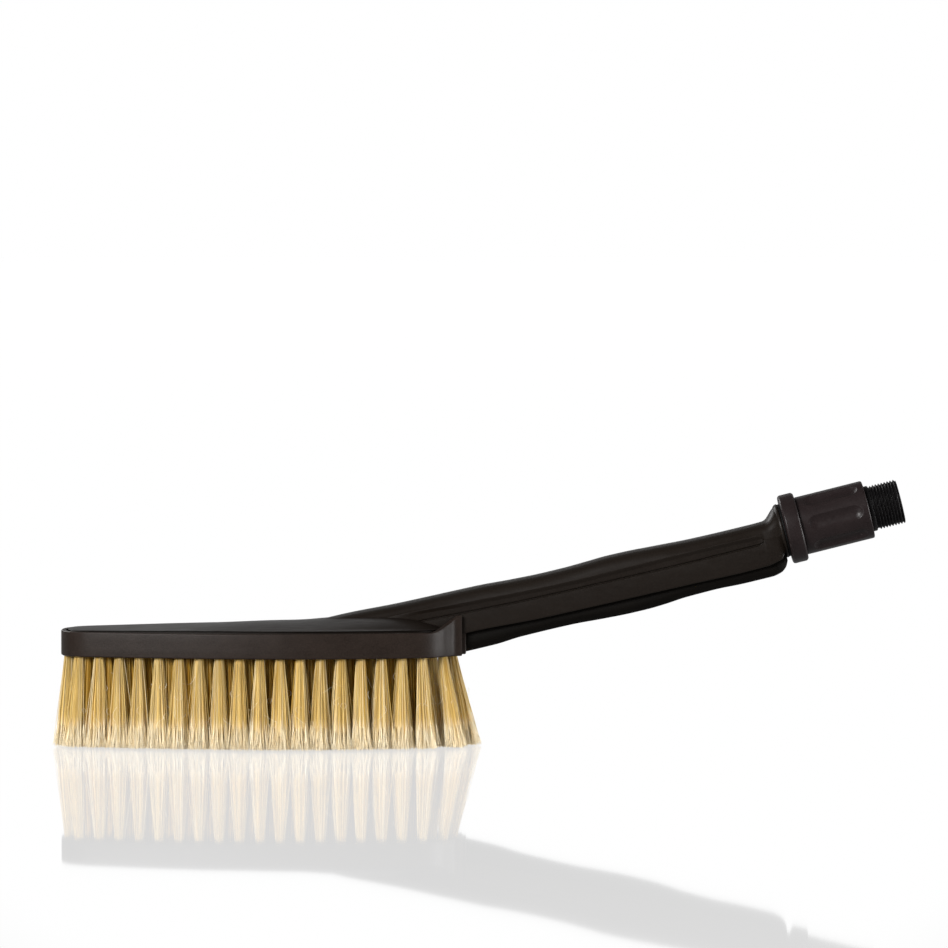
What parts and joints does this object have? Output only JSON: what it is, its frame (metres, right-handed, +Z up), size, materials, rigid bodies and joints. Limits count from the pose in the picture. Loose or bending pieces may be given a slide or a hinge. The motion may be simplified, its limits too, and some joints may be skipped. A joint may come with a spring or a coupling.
{
  "type": "wash brush",
  "caption": "Flat wash brush with a barrel-shaped bristle head, a raked hollow handle and a free-turning threaded inlet coupling.",
  "frame": {"origin": "centre of the bounding box at its bottom, level with the bristle tips", "axes": "+X from the rounded front of the head towards the coupling, +Y across the head, +Z up"},
  "size_m": [0.4208, 0.0908, 0.1313],
  "materials": {
    "block_plastic": "fine grained matte, brownish charcoal",
    "shell_plastic": "satin black",
    "keel_plastic": "matte black",
    "tube_plastic": "plain grey",
    "seal_rubber": "soft black rubber",
    "nose_plastic": "black acetal, turned",
    "clip_steel": "spring steel",
    "washer_plastic": "low-friction black",
    "collar_plastic": "satin black",
    "spigot_plastic": "black",
    "bristle": "golden straw bristle with pale split ends"
  },
  "bodies": {
    "brush": {"block": "block_plastic", "upper_shell": "shell_plastic", "lower_shell": "keel_plastic", "water_tube": "tube_plastic", "tube_seal": "seal_rubber", "swivel_nose": "nose_plastic", "nose_seal_rear": "seal_rubber", "nose_seal_front": "seal_rubber", "retaining_clip": "clip_steel", "thrust_washer": "washer_plastic", "tuft_row_01": "bristle", "tuft_row_02": "bristle", "tuft_row_03": "bristle", "tuft_row_04": "bristle", "tuft_row_05": "bristle", "tuft_row_06": "bristle", "tuft_row_07": "bristle", "tuft_row_08": "bristle", "tuft_row_09": "bristle", "tuft_row_10": "bristle", "tuft_row_11": "bristle", "tuft_row_12": "bristle", "tuft_row_13": "bristle", "tuft_row_14": "bristle", "tuft_row_15": "bristle", "tuft_row_16": "bristle", "tuft_row_17": "bristle", "tuft_row_18": "bristle", "tuft_row_19": "bristle"},
    "coupling": {"collar_ring": "collar_plastic", "grip_sleeve": "collar_plastic", "threaded_spigot": "spigot_plastic"}
  },
  "joints": [
    {"name": "coupling_swivel", "type": "hinge", "parent": "brush", "child": "coupling", "pos_m": [0.17502, 0, 0.11263], "axis": [0.9699, 0, 0.2436], "continuous": true}
  ]
}
